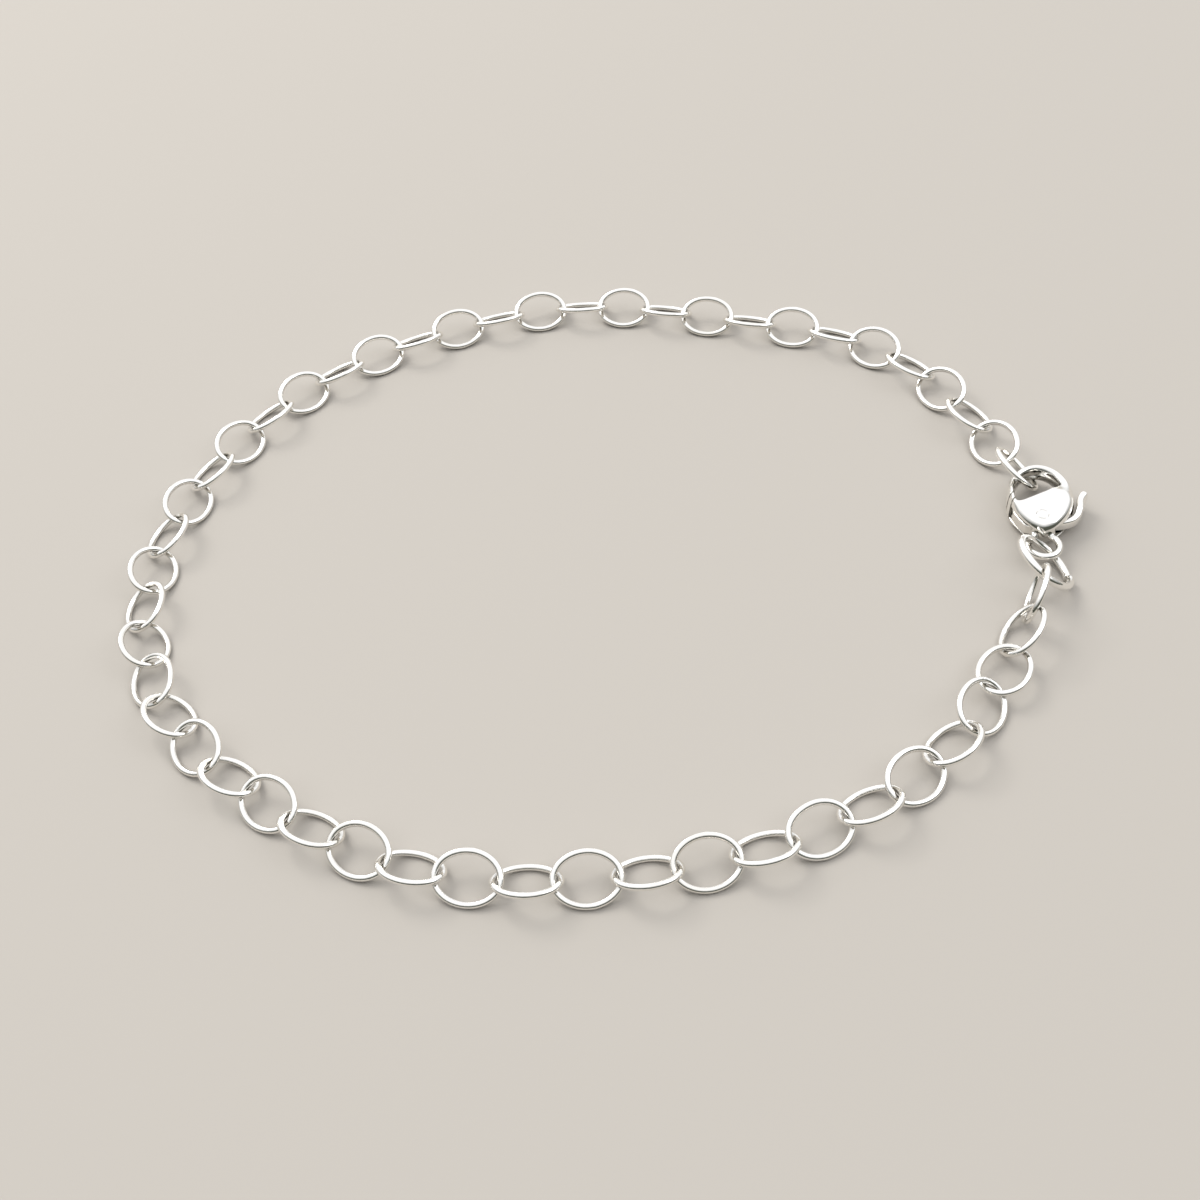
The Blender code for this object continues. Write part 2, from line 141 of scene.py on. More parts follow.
# Thumb tab's middle line: across as a share of the clasp's half width, along as one of its length
TAB_LINE = [
    ("across", "along", "width"),
    (0.00, 0.222, 1.00),
    (0.48, 0.232, 1.00),
    (0.86, 0.270, 1.00),
    (1.05, 0.330, 1.00),
    (1.13, 0.400, 1.00),
    (1.15, 0.465, 1.00),
    (1.22, 0.520, 1.15),
    (1.35, 0.570, 1.10),
]
TAB_SPAN_STEPS = 10
TAB_SIDES = 40

# Where along its rows the tab thickens as it leaves the slot, over how many rows, and the rounding
# and smallest share of its tip
TAB_THICK_FROM = 2.8
TAB_THICK_OVER = 1.0
TAB_TIP_ROUND = 0.30
TAB_TIP_LEAST = 0.35

# Camera at the photograph's place: 43 mm lens, 47.9 degrees down, turned 5.8 degrees
CAMERA_PLACE = (-0.795 * MM, -70.372 * MM, 72.57 * MM)
CAMERA_TILT = math.radians(42.1)
CAMERA_ROLL = math.radians(-5.8)
CAMERA_LENS = 42.99
CAMERA_NEAR = 1.0 * MM
SENSOR_WIDTH = 36.0

# Light: which way the room's shaded band tilts and its height, and the soft boxes' places and
# colours
WALL_TILT = (0.0, 0.50, 1.0)
WALL_BAND = (0.04, 0.62)
KEY_PLACE = (-0.30, 0.34, 0.46)
FILL_PLACE = (0.42, -0.05, 0.38)
KEY_COLOUR = "#FFFDF8"
FILL_COLOUR = "#F6F9FF"

# Matt paint on the floor
FLOOR_ROUGHNESS = 0.75
FLOOR_SPECULAR = 0.2


def linear(hex_code):
    """Turns an sRGB hex value to a linear colour."""
    channels = [int(hex_code[i : i + 2], 16) / 255 for i in (1, 3, 5)]
    return tuple(c / 12.92 if c <= 0.04045 else ((c + 0.055) / 1.055) ** 2.4 for c in channels)


def length(name, description, default):
    """A length that a user would change, with its default in millimetres."""
    return bpy.props.FloatProperty(
        name=name, description=description, default=default * MM, min=0.0, unit="LENGTH", precision=5
    )


def colour(name, description, hex_code):
    """A colour that a user would change."""
    return bpy.props.FloatVectorProperty(
        name=name, description=description, default=linear(hex_code), min=0.0, max=1.0, subtype="COLOR"
    )


class ChainSizes(bpy.types.PropertyGroup):
    """Sizes of the oval cable links."""

    link_length: length("Link length", "Outer length of a link", 4.40)
    link_width: length("Link width", "Outer width of a link", 3.53)
    wire: length("Wire", "Diameter of the drawn wire", 0.42)
    wander: length("Wander", "How far the bent wire strays from a true oval", 0.015)
    seam_swell: length("Seam swell", "How far the soldered seam stands proud of the wire", 0.014)


class RingSizes(bpy.types.PropertyGroup):
    """Sizes of the jump ring."""

    outer: length("Outer diameter", "Outer diameter of the ring", 4.80)
    wire: length("Wire", "Diameter of the ring's wire", 0.56)
    seam: length("Seam", "Width of the open seam", 0.12)
    spread: length("Spread", "How far one end stands above the other", 0.16)


class ClaspSizes(bpy.types.PropertyGroup):
    """Sizes of the lobster clasp, its lever and its pin."""

    body_length: length("Length", "Length from the eye's outer side to the hook's top", 8.85)
    body_width: length("Width", "Width of the belly", 4.60)
    body_thickness: length("Thickness", "Thickness at the cheeks", 2.20)
    body_start: length("Body start", "Where the belly starts from the middle of the eye", 0.70)
    hook_thickness: length("Hook thickness", "Thickness of the hook's bar", 1.30)
    hook_bar: length("Hook bar", "Width of the hook's bar", 0.62)
    bar_swell: length("Bar swell", "How much wider the bar grows on the thumb tab's side", 0.15)
    top_round: length("Top rounding", "Width over which the upper outer edge rounds off", 0.85)
    foot_round: length("Foot rounding", "Width over which the lower outer edge rounds off", 1.10)
    inner_round: length("Inner rounding", "Width over which the opening's edges round off", 0.34)
    eye_hole: length("Eye hole", "Diameter of the hole in the eye", 1.60)
    eye_wire: length("Eye wire", "Diameter of the eye's wire", 0.50)
    slot_height: length("Slot", "Height of the slot between the cheeks", 1.00)
    pin_radius: length("Pin radius", "Radius of the pin", 0.34)
    pin_across: length("Pin across", "The pin's place to the left of the eye", 0.10)
    pin_along: length("Pin along", "The pin's place from the eye to the hook", 1.95)
    part_gap: length("Gap", "Gap between moving surfaces", 0.06)
    lever_thickness: length("Lever thickness", "Thickness of the lever's arm", 0.80)
    tab_thickness: length("Tab thickness", "Height of the thumb tab", 1.20)
    tab_width: length("Tab width", "Width of the thumb tab's bar", 0.50)
    hub_radius: length("Hub radius", "Radius of the lever's hub", 0.72)
    grain: length("Grain", "Edge length of the cast surface's cells", 0.045)


class FinishColours(bpy.types.PropertyGroup):
    """Colours of the metal and of the stage."""

    silver: colour("Silver", "Freshly polished sterling silver", "#F7F5F1")
    bloom: colour("Bloom", "Silver under a first breath of tarnish", "#DCD6CA")
    # Painted shade: this grey darkens joints, undersides and inner walls of the silver
    shade_grey: colour("Oxide", "Grey left where no polishing wheel reaches", "#8E8C85")
    floor: colour("Floor", "Pale plain floor", "#BCB6AE")
    room: colour("Room", "Light from the room", "#F7F8FA")
    wall: colour("Wall", "Shaded band round the room at the height of the table", "#4B4E46")


class StageSizes(bpy.types.PropertyGroup):
    """Sizes and strengths of the stage."""

    floor_side: length("Floor side", "Side of the square floor", 1600.0)
    box_side: length("Soft box", "Side of the large soft light", 320.0)
    box_power: bpy.props.FloatProperty(
        name="Key power", description="Power of the large soft light", default=1.9, unit="POWER"
    )
    fill_power: bpy.props.FloatProperty(
        name="Fill power", description="Power of the fill light", default=0.35, unit="POWER"
    )
    room_strength: bpy.props.FloatProperty(
        name="Room strength", description="Strength of the light from the room", default=1.25
    )


def smooth_step(share):
    """Eases from 0 to 1."""
    share = np.clip(share, 0.0, 1.0)
    return share * share * (3 - 2 * share)


def finish_mesh(mesh, sharp_angle):
    """Faces a mesh outward and shades it smooth up to an angle."""
    work = bmesh.new()
    work.from_mesh(mesh)
    bmesh.ops.recalc_face_normals(work, faces=work.faces)
    work.to_mesh(mesh)
    work.free()
    mesh.shade_smooth()
    mesh.set_sharp_from_angle(angle=sharp_angle)
    return mesh


def swept_mesh(name, rows, closed):
    """Skins rows of points, all of one count, with quads whose UVs run along and round it in mm."""
    rows = np.asarray(rows, float)
    count, sides = rows.shape[:2]
    spans = count if closed else count - 1
    row, side = (part.ravel() for part in np.indices((spans, sides)))
    after, beside = (row + 1) % count, (side + 1) % sides
    here, there = row * sides, after * sides
    corners = np.stack((here + side, here + beside, there + beside, there + side), 1)
    faces = corners.tolist()
    if not closed:
        faces += [list(range(sides)), list(range((count - 1) * sides, count * sides))]
    mesh = bpy.data.meshes.new(name)
    mesh.from_pydata(rows.reshape(-1, 3).tolist(), [], faces)
    middles = rows.mean(axis=1)
    steps = np.linalg.norm(np.roll(middles, -1, axis=0) - middles, axis=1)
    runs = np.concatenate(([0.0], np.cumsum(steps)))
    girth = np.linalg.norm(np.roll(rows[0], -1, axis=0) - rows[0], axis=1).sum() / sides
    along = np.stack((runs[row], runs[row], runs[row + 1], runs[row + 1]), 1)
    round_it = np.stack((side, side + 1, side + 1, side), 1) * girth
    spread = np.zeros((len(mesh.loops), 2))
    spread[: along.size] = np.stack((along.ravel(), round_it.ravel()), 1)
    layer = mesh.uv_layers.new(name="wire")
    layer.data.foreach_set("uv", spread.ravel())
    return finish_mesh(mesh, WIRE_SHARP)


def prism(name, outline, low, high):
    """A straight prism over an outline in the XY plane."""
    return swept_mesh(name, [[(x, y, z) for x, y in outline] for z in (low, high)], closed=False)


def arc(middle, radius, start, end, steps):
    """Points on an arc, both ends included."""
    turns = np.linspace(start, end, steps + 1)
    return [(middle[0] + radius * math.cos(t), middle[1] + radius * math.sin(t)) for t in turns]


def circle(middle, radius, steps):
    """Points all round a circle."""
    return arc(middle, radius, 0.0, math.tau * (steps - 1) / steps, steps - 1)


def put(mesh, name, material, body, slot, *nodes):
    """Sets a finished mesh, already in its place and in metres, in for CAD nodes of one body."""
    piece = bpy.data.objects.new(name, mesh)
    bpy.context.scene.collection.objects.link(piece)
    mesh.materials.clear()
    mesh.materials.append(material)
    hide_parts(*nodes)
    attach(piece, body)


def node_axes(node):
    """Middle and axes of a ring-like CAD node, in mm: its long way, its width and its normal."""
    points = np.array([vertex.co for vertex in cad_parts[node].data.vertices]) / MM
    points = np.unique(points.round(4), axis=0)
    middle = points.mean(axis=0)
    axes = np.linalg.eigh(np.cov((points - middle).T))[1][:, ::-1].T
    axes[2] = np.cross(axes[0], axes[1])
    return middle, axes


def add_node(tree, kind, inputs=None, **settings):
    """Adds a node with its settings, and joins or fills its inputs."""
    node = tree.nodes.new(kind)
    for name, value in settings.items():
        setattr(node, name, value)
    for name, value in (inputs or {}).items():
        if isinstance(value, bpy.types.NodeSocket):
            tree.links.new(value, node.inputs[name])
        else:
            node.inputs[name].default_value = value
    return node


def noise(tree, place, grain, **inputs):
    """Noise whose largest lumps measure grain, in the unit of its place."""
    settings = {"Vector": place, "Scale": 1 / grain, "Detail": 3.0, **inputs}
    return add_node(tree, "ShaderNodeTexNoise", settings).outputs["Fac"]


def between(tree, value, low, high, to_low, to_high):
    """Maps a value from one range to another, and no further."""
    inputs = {"Value": value, "From Min": low, "From Max": high, "To Min": to_low, "To Max": to_high}
    return add_node(tree, "ShaderNodeMapRange", inputs, clamp=True).outputs["Result"]


def blend_colours(tree, share, first, second):
    """Mixes two colours by a share."""
    node = add_node(tree, "ShaderNodeMix", data_type="RGBA")
    for socket, value in ((node.inputs[0], share), (node.inputs[6], first), (node.inputs[7], second)):
        if isinstance(value, bpy.types.NodeSocket):
            tree.links.new(value, socket)
        else:
            socket.default_value = value
    return node.outputs[2]


def silver_material(name, gloss, bloom_share):
    """Starts a silver: its tree, its shader, places in mm, and a colour with patches of bloom."""
    colours = bpy.context.scene.bracelet_finish
    material = bpy.data.materials.new(name)
    material.use_nodes = True
    tree = material.node_tree
    shader = tree.nodes["Principled BSDF"]
    shader.inputs["Metallic"].default_value = 1.0
    coordinates = add_node(tree, "ShaderNodeTexCoord")
    scaled = {"Vector": coordinates.outputs["Object"], "Scale": (1 / MM, 1 / MM, 1 / MM)}
    place = add_node(tree, "ShaderNodeMapping", scaled).outputs["Vector"]
    # Tarnish starts in patches of a few links, 7 mm across
    patches = between(tree, noise(tree, place, 7.0), 0.45, 0.75, 0.0, bloom_share)
    tint = blend_colours(tree, patches, (*colours.silver, 1), (*colours.bloom, 1))
    # Handling leaves the polish uneven over about 0.7 mm
    rough = between(tree, noise(tree, place, 0.7), 0.3, 0.7, gloss[0], gloss[1])
    tree.links.new(rough, shader.inputs["Roughness"])
    return material, tree, shader, coordinates, place, tint


def drawn_wire_material(name="sterling_wire_drawn_tumbled"):
    """Sterling wire, drawn through a plate and tumble-polished with steel shot.

    It gives a soft mirror with faint lines along the wire and tiny dents of the shot, and painted
    grey shade in the joints and on the undersides, where other links or the floor lie close.
    """
    material, tree, shader, coordinates, place, tint = silver_material(name, (0.05, 0.13), 0.35)
    colours = bpy.context.scene.bracelet_finish
    # Painted shade: grey is mixed in where other links or the floor lie within 0.7 mm, darkening joints
    # and undersides
    reach = {"Distance": 0.7 * MM}
    open_sky = add_node(tree, "ShaderNodeAmbientOcclusion", reach, samples=8).outputs["AO"]
    painted_shade_share = between(tree, open_sky, 0.25, 0.80, 0.85, 0.0)
    tint_with_painted_shade = blend_colours(tree, painted_shade_share, tint, (*colours.shade_grey, 1))
    tree.links.new(tint_with_painted_shade, shader.inputs["Base Color"])
    # Draw lines lie 0.01 mm apart in fact; they are drawn 0.05 mm apart, so that they show
    stretched = {"Vector": coordinates.outputs["UV"], "Scale": (0.4, 20.0, 1.0)}
    lines = noise(tree, add_node(tree, "ShaderNodeMapping", stretched).outputs["Vector"], 1.0)
    dents = noise(tree, place, 0.16, Detail=1.0)
    depth = {"Height": lines, "Strength": 0.35, "Distance": 0.003 * MM}
    lined = add_node(tree, "ShaderNodeBump", depth)
    depth = {"Height": dents, "Strength": 0.6, "Distance": 0.006 * MM, "Normal": lined.outputs["Normal"]}
    dented = add_node(tree, "ShaderNodeBump", depth)
    tree.links.new(dented.outputs["Normal"], shader.inputs["Normal"])
    return material


def cast_material(name, gloss):
    """Sterling cast by the lost-wax way and mirror-polished on a felt wheel.

    It gives a bright mirror that swims a little over the casting's slow waves, with hairline
    scratches, and painted grey shade on inner walls and in hollow corners.
    """
    colours = bpy.context.scene.bracelet_finish
    material, tree, shader, _, place, tint = silver_material(name, gloss, 0.25)
    # Painted shade: grey is mixed in on hollow edges, found by pointiness, and on inner walls that the
    # piece's own form closes round within 3.5 mm
    geometry = add_node(tree, "ShaderNodeNewGeometry")
    corner = between(tree, geometry.outputs["Pointiness"], 0.40, 0.49, 0.75, 0.0)
    reach = {"Distance": 3.5 * MM}
    sky = add_node(tree, "ShaderNodeAmbientOcclusion", reach, only_local=True, samples=8)
    painted_shade_share = between(tree, sky.outputs["AO"], 0.45, 0.95, 0.95, 0.0)
    more = add_node(tree, "ShaderNodeMath", {0: corner, 1: painted_shade_share}, operation="MAXIMUM")
    painted_shade_mask = more.outputs["Value"]
    tint_with_painted_shade = blend_colours(tree, painted_shade_mask, tint, (*colours.shade_grey, 1))
    tree.links.new(tint_with_painted_shade, shader.inputs["Base Color"])
    # The casting's waves are 1.1 mm long; wheel marks of 0.004 mm are drawn 0.05 mm wide to show
    waves = noise(tree, place, 1.1, Detail=1.0)
    brushed = {"Vector": place, "Scale": (1.5, 20.0, 6.0), "Rotation": (0.0, 0.0, 0.5)}
    marks = noise(tree, add_node(tree, "ShaderNodeMapping", brushed).outputs["Vector"], 1.0)
    depth = {"Height": waves, "Strength": 0.5, "Distance": 0.03 * MM}
    waved = add_node(tree, "ShaderNodeBump", depth)
    depth = {"Height": marks, "Strength": 0.3, "Distance": 0.002 * MM, "Normal": waved.outputs["Normal"]}
    marked = add_node(tree, "ShaderNodeBump", depth)
    tree.links.new(marked.outputs["Normal"], shader.inputs["Normal"])
    return material


def link_rows(sizes, number):
    """Wire sections of one link round its own middle, with its seam and its stray bends."""
    chance = np.random.default_rng(number)
    turns = np.arange(LINK_STEPS) * math.tau / LINK_STEPS
    wire, wander, swell = sizes.wire / MM / 2, sizes.wander / MM, sizes.seam_swell / MM
    half_length = sizes.link_length / MM / 2 - wire
    half_width = sizes.link_width / MM / 2 - wire
    bend = sum(
        chance.normal() / wave * np.sin(wave * turns + chance.uniform(0, math.tau)) for wave in BEND_WAVES
    )
    middles = np.stack((half_length * np.cos(turns), half_width * np.sin(turns), 0 * turns), 1)
    outward = np.stack((half_width * np.cos(turns), half_length * np.sin(turns), 0 * turns), 1)
    outward /= np.linalg.norm(outward, axis=1)[:, None]
    # The seam closes one of the long sides, so that the next link can't open it
    seam = math.copysign(math.pi / 2, chance.normal()) + chance.normal() * SEAM_STRAY
    off = (turns - seam + math.pi) % math.tau - math.pi
    radius = wire + swell * np.exp(-((off / SEAM_REACH) ** 2))
    stray = np.minimum(bend * wander * np.sin(turns) ** 2, wander)
    middles += outward * stray[:, None]
    angles = (np.arange(LINK_SIDES) + 0.5) * math.tau / LINK_SIDES
    across = outward[:, None] * np.cos(angles)[None, :, None]
    up = np.array((0.0, 0.0, 1.0)) * np.sin(angles)[None, :, None]
    return middles[:, None] + (across + up) * radius[:, None, None]


class BRACELET_OT_links(bpy.types.Operator):
    """Bends and solders the oval cable links"""

    bl_idname = "bracelet.links"
    bl_label = "Cable links"

    def execute(self, context):
        sizes = context.scene.bracelet_chain
        material = drawn_wire_material()
        for number, node in enumerate(LINK_NODES, start=1):
            middle, axes = node_axes(node)
            rows = middle + link_rows(sizes, number) @ axes
            mesh = swept_mesh(f"silver_{node}", rows * MM, closed=True)
            put(mesh, f"silver_{node}", material, "bracelet", "chain_silver", node)
        return {"FINISHED"}


class BRACELET_OT_jump_ring(bpy.types.Operator):
    """Bends the open jump ring"""

    bl_idname = "bracelet.jump_ring"
    bl_label = "Jump ring"

    def execute(self, context):
        sizes = context.scene.bracelet_ring
        middle, axes = node_axes("jump_ring")
        normal = axes[2] * math.copysign(1.0, axes[2][2])
        # The seam lies low on the right, turned towards the viewer
        low = np.cross(np.cross(normal, (0.0, 0.0, -1.0)), normal)
        low /= np.linalg.norm(low)
        beside = np.cross(normal, low)
        wire = sizes.wire / MM / 2
        radius = sizes.outer / MM / 2 - wire
        half_seam = sizes.seam / MM / 2 / radius
        cut = RING_SEAM_TURN
        turns = np.linspace(cut + half_seam, cut + math.tau - half_seam, RING_STEPS)
        # Shears leave each end a little rounded: the last hundredths of the wire draw in
        ends = np.minimum(np.arange(RING_STEPS), np.arange(RING_STEPS)[::-1])
        radii = wire * np.select([ends == 0, ends == 1], RING_END_SHARES, 1.0)
        turns[[1, -2]] = turns[0] + RING_END_STEP, turns[-1] - RING_END_STEP
        rise = sizes.spread / MM * ((turns - cut) / math.tau - 0.5)
        rise *= smooth_step(1 - np.minimum(turns - cut, cut + math.tau - turns) / RING_SPREAD_TURN)
        outward = np.cos(turns)[:, None] * low + np.sin(turns)[:, None] * beside
        middles = middle + radius * outward + rise[:, None] * normal
        angles = (np.arange(RING_SIDES) + 0.5) * math.tau / RING_SIDES
        sections = outward[:, None] * np.cos(angles)[None, :, None]
        sections = sections + normal * np.sin(angles)[None, :, None]
        rows = middles[:, None] + sections * radii[:, None, None]
        mesh = swept_mesh("silver_jump_ring", rows * MM, closed=False)
        material = drawn_wire_material("sterling_wire_drawn_cut")
        put(mesh, "silver_jump_ring", material, "bracelet", "ring_silver", "jump_ring")
        return {"FINISHED"}


def clasp_values():
    """The clasp's sizes in millimetres by name."""
    sizes = bpy.context.scene.bracelet_clasp
    return {name: getattr(sizes, name) / MM for name in ClaspSizes.__annotations__}


def pivot_of(v):
    """The pin's place in the clasp's own drawing."""
    return (-v["pin_across"], v["pin_along"])


def hook_top(v):
    """The hook's top from the middle of the eye."""
    return v["body_length"] - v["eye_hole"] / 2 - v["eye_wire"]


def pear_half_width(v, along):
    """Half the width of the clasp's outline at a distance along it from the eye."""
    middle = (v["body_start"] + hook_top(v)) / 2
    reach = (hook_top(v) - v["body_start"]) / 2
    level = (middle - along) / reach
    if abs(level) >= 1:
        return 0.0
    turns = np.linspace(0.1, 3.1, 61)
    widest = (np.sin(turns) * np.sin(turns / 2) ** PEAR_POWER).max()
    turn = math.acos(level)
    return v["body_width"] / 2 * math.sin(turn) * math.sin(turn / 2) ** PEAR_POWER / widest


def clasp_point(v, shares):
    """A point of the clasp from its shares of the width and of the length."""
    return Vector((shares[0] * v["body_width"], shares[1] * v["body_length"]))


def reach_to_outline(v, middle, heading):
    """Distance from a point inside the clasp's outline to the outline."""
    low, high = 0.0, v["body_length"]
    for _ in range(30):
        reach = (low + high) / 2
        point = middle + heading * reach
        inside = abs(point.x) < pear_half_width(v, point.y)
        low, high = (reach, high) if inside else (low, reach)
    return low


def rounded_section(points, power):
    """Across and up of a rounded section, each from -1 to 1, squarer with a higher power."""
    angles = (np.arange(points) + 0.5) * math.tau / points
    across = np.sign(np.cos(angles)) * np.abs(np.cos(angles)) ** (2 / power)
    up = np.sign(np.sin(angles)) * np.abs(np.sin(angles)) ** (2 / power)
    return across, up


def clasp_form(v, name):
    """The clasp's closed form without its eye: hook and belly round the opening."""
    middle = clasp_point(v, OPENING_MIDDLE)
    edge_normal = Vector((-math.sin(CHEEK_SLOPE), math.cos(CHEEK_SLOPE)))
    drop = (middle - clasp_point(v, CHEEK_EDGE)).dot(edge_normal)
    across, up = rounded_section(CLASP_POINTS, SECTION_POWER)
    rows = []
    for spoke in range(CLASP_SPOKES):
        turn = math.tau * spoke / CLASP_SPOKES
        heading = Vector((math.cos(turn), math.sin(turn)))
        outer = reach_to_outline(v, middle, heading)
        swell = max(math.cos(turn - SWELL_TURN), 0.0) ** 2
        inner = outer - v["hook_bar"] - v["bar_swell"] * swell
        fall = -heading.dot(edge_normal)
        if fall > LEAST_FALL:
            inner = (inner**-CORNER_POWER + (drop / fall) ** -CORNER_POWER) ** (-1 / CORNER_POWER)
        level = (middle + heading * outer).y / v["body_length"]
        belly = smooth_step((HOOK_ALONG - level) / (HOOK_ALONG - BELLY_ALONG))
        thick = v["hook_thickness"] + (v["body_thickness"] - v["hook_thickness"]) * belly
        most = (outer - inner) / 2
        top, foot, inside = (min(most, v[key]) for key in ("top_round", "foot_round", "inner_round"))
        outside = np.where(up > 0, top, foot)
        reaches = np.where(across > 0, outer - (1 - across) * outside, inner + (1 + across) * inside)
        rise = up * thick / 2
        rows.append(np.stack((middle.x + heading.x * reaches, middle.y + heading.y * reaches, rise), 1))
    return swept_mesh(name, rows, closed=True)


def eye_form(v, name):
    """The round eye at the clasp's foot."""
    wire = v["eye_wire"] / 2
    radius = v["eye_hole"] / 2 + wire
    turns = np.arange(EYE_STEPS)[:, None] * math.tau / EYE_STEPS
    angles = np.arange(EYE_SIDES)[None] * math.tau / EYE_SIDES
    reach = radius + wire * np.cos(angles)
    rows = np.stack((reach * np.cos(turns), reach * np.sin(turns), wire * np.sin(angles) + 0 * turns), 2)
    return swept_mesh(name, rows, closed=True)


def gate_outline(v, gap):
    """Outline of the room of the gate head, drawn in by a gap on its two joints."""
    point = clasp_point(v, SPLIT_POINT)
    heading = Vector((math.cos(SPLIT_SLOPE), math.sin(SPLIT_SLOPE)))
    inward = Vector((heading.y, -heading.x)) * gap
    start = point + inward + heading * (SPLIT_INWARD * v["body_length"])
    end = point + inward - heading * (SPLIT_OUTWARD * v["body_length"])
    root = arc(pivot_of(v), ROOT_REACH * v["body_length"] + gap, *ROOT_ARC, ROOT_STEPS)
    return [tuple(start), tuple(end)] + root


def slot_outline(v):
    """Outline of the slot between the cheeks."""
    start, end = gate_outline(v, 0.0)[:2]
    floor = v["pin_along"] - v["hub_radius"] - 2 * v["part_gap"]
    side, column = SLOT_SIDE * v["body_width"], SLOT_COLUMN * v["body_width"]
    shelf, top = SLOT_SHELF * v["body_length"], SLOT_TOP * v["body_length"]
    return [(-side, floor), (side, floor), (side, shelf), (column, shelf), (column, top), start, end]


def lever_plate_outline(v):
    """Outline of the lever's thin part: arm up the left edge to the gate head, and hub."""
    left = []
    for share in ARM_EDGE:
        along = share * v["body_length"]
        left.append((-(pear_half_width(v, along) - v["part_gap"]), along))
    hub = arc(pivot_of(v), v["hub_radius"], *HUB_ARC, HUB_STEPS)
    return left + hub + [tuple(clasp_point(v, corner)) for corner in ARM_CORNERS]


def tab_line(v):
    """The thumb tab's middle line, drawn smoothly through its rows, with a width share at each place."""
    table = np.array(TAB_LINE[1:])
    table[:, 0] *= v["body_width"] / 2
    table[:, 1] *= v["body_length"]
    padded = np.vstack((2 * table[0] - table[1], table, 2 * table[-1] - table[-2]))
    line = []
    for i in range(1, len(padded) - 2):
        for step in range(TAB_SPAN_STEPS):
            t = step / TAB_SPAN_STEPS
            a, b, c, d = padded[i - 1 : i + 3]
            curve = 2 * b + (c - a) * t + (2 * a - 5 * b + 4 * c - d) * t**2
            line.append((curve + (3 * b - a - 3 * c + d) * t**3) / 2)
    return np.array(line + [table[-1]])


def tab_form(v, name, line):
    """The thumb tab: a bar of rounded section that thickens outside the slot and ends in a round tip."""
    ahead = np.gradient(line[:, :2], axis=0)
    ahead /= np.linalg.norm(ahead, axis=1)[:, None]
    side = np.stack((ahead[:, 1], -ahead[:, 0]), 1)
    across, up = rounded_section(TAB_SIDES, TAB_POWER)
    steps = np.linalg.norm(np.diff(line[:, :2], axis=0), axis=1)
    to_tip = np.append(np.cumsum(steps[::-1])[::-1], 0.0)
    tip = 1 - np.minimum(to_tip / TAB_TIP_ROUND, 1.0)
    tip = TAB_TIP_LEAST + (1 - TAB_TIP_LEAST) * np.sqrt(1 - tip**2)
    row = np.arange(len(line)) / TAB_SPAN_STEPS
    thicker = smooth_step((row - TAB_THICK_FROM) / TAB_THICK_OVER)
    thick = v["lever_thickness"] + (v["tab_thickness"] - v["lever_thickness"]) * thicker
    out = across * (v["tab_width"] / 2 * line[:, 2] * tip)[:, None]
    places = line[:, None, :2] + side[:, None] * out[..., None]
    rise = up * (thick / 2 * tip)[:, None]
    return swept_mesh(name, np.concatenate((places, rise[..., None]), axis=2), closed=False)


def cast(name, form, others, grain, melt):
    """Joins and cuts forms, then melts their edges as casting and tumbling do."""
    parts = [bpy.data.objects.new(name, form)]
    for operation, mesh in others:
        other = bpy.data.objects.new(mesh.name, mesh)
        parts.append(other)
        cut = parts[0].modifiers.new(mesh.name, "BOOLEAN")
        cut.operation = operation
        cut.object = other
    remesh = parts[0].modifiers.new("cells", "REMESH")
    remesh.mode = "VOXEL"
    remesh.voxel_size = grain
    smooth = parts[0].modifiers.new("melt", "SMOOTH")
    smooth.factor = MELT_FACTOR
    smooth.iterations = melt
    for part in parts:
        bpy.context.scene.collection.objects.link(part)
    graph = bpy.context.evaluated_depsgraph_get()
    result = bpy.data.meshes.new_from_object(parts[0].evaluated_get(graph))
    result.name = name
    for part in parts:
        bpy.data.objects.remove(part)
    if not result.polygons:
        raise RuntimeError(f"{name} came out empty")
    return result


def set_in_clasp(v, mesh):
    """Moves a mesh from the clasp's own drawing, in mm, to its place in metres."""
    low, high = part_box("clasp_pin")
    across, along = pivot_of(v)
    turn = Matrix.Rotation(CLASP_HEADING, 4, "Z") @ Matrix.Scale(MM, 4)
    to_pin = Matrix.Translation((-across, -along, 0))
    mesh.transform(Matrix.Translation((low + high) / 2) @ turn @ to_pin)
    return finish_mesh(mesh, CAST_SHARP)


class BRACELET_OT_clasp_body(bpy.types.Operator):
    """Casts hook, cheeks and eye of the lobster clasp"""

    bl_idname = "bracelet.clasp_body"
    bl_label = "Clasp body"

    def execute(self, context):
        v = clasp_values()
        deep, half_slot = v["body_thickness"], v["slot_height"] / 2
        hole = circle(pivot_of(v), v["pin_radius"] + v["part_gap"], PIN_STEPS)
        cuts = [
            ("UNION", eye_form(v, "eye")),
            ("DIFFERENCE", prism("gate_room", gate_outline(v, 0.0), -deep, deep)),
            ("DIFFERENCE", prism("slot_room", slot_outline(v), -half_slot, half_slot)),
            ("DIFFERENCE", prism("pin_room", hole, -deep, deep)),
        ]
        mesh = cast("silver_clasp_body", clasp_form(v, "body"), cuts, v["grain"], BODY_MELT)
        material = cast_material("sterling_cast_mirror_polished", (0.05, 0.12))
        put(set_in_clasp(v, mesh), mesh.name, material, "bracelet", "clasp_silver", "clasp_body")
        return {"FINISHED"}


